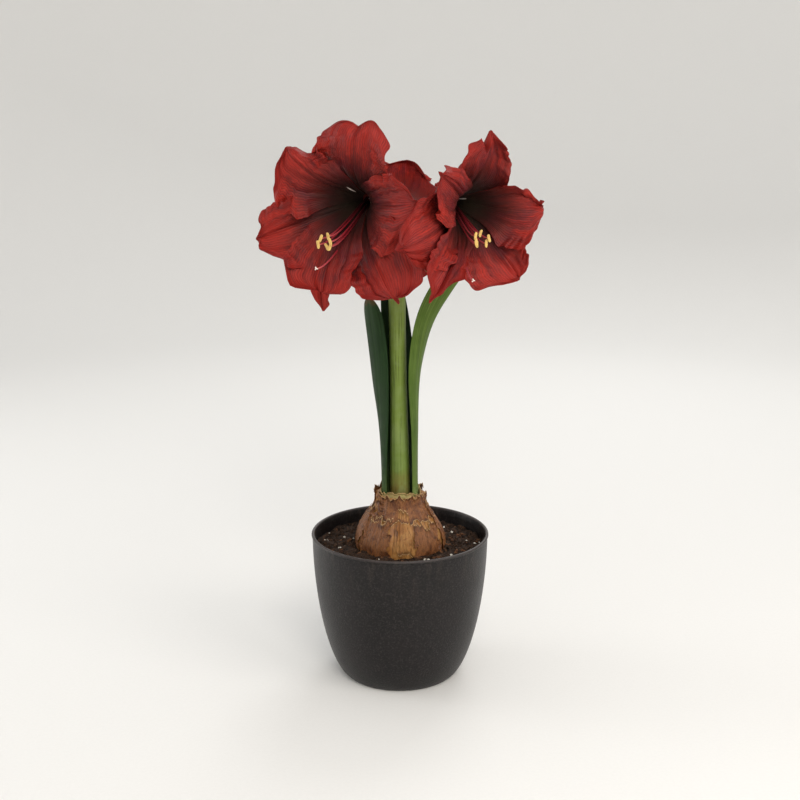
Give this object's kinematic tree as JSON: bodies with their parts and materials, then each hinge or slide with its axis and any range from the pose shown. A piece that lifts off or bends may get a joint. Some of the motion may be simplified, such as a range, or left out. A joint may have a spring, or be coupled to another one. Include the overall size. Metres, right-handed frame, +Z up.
{
  "type": "amaryllis in a pot",
  "caption": "Flowering amaryllis: wide ruffled dark red blooms on one stout scape with strap leaves, grown from a bulb in a plain flared dark pot filled with soil.",
  "frame": {"origin": "middle of the pot's flat base, on the surface it stands on", "axes": "+Z up along the pot's axis; -Y the side that the two front blooms face; +X to the right seen from that side"},
  "size_m": [0.2681, 0.267, 0.5585],
  "materials": {
    "pot": "fine moulded grain, matt, dark brown-black",
    "soil": "damp crumbly potting soil",
    "bulb": "dry papery brown tunic",
    "stem": "smooth waxy green plant skin",
    "spathe": "withered papery bract",
    "leaf_dark": "smooth fleshy leaf, dark green",
    "leaf_bright": "smooth fleshy leaf, bright green",
    "petal": "velvety dark red, almost black in the throat, fine lengthwise veins"
  },
  "bodies": {
    "root": {"pot": "pot", "potting_soil": "soil", "bulb": "bulb", "flower_stem": "stem", "spathe": "spathe", "leaf_short_left": "leaf_dark", "leaf_long_left": "leaf_dark", "leaf_long_right": "leaf_bright", "leaf_short_right": "leaf_dark", "bloom_front_left": "petal", "bloom_front_right": "petal", "bloom_rear": "petal"}
  },
  "joints": []
}
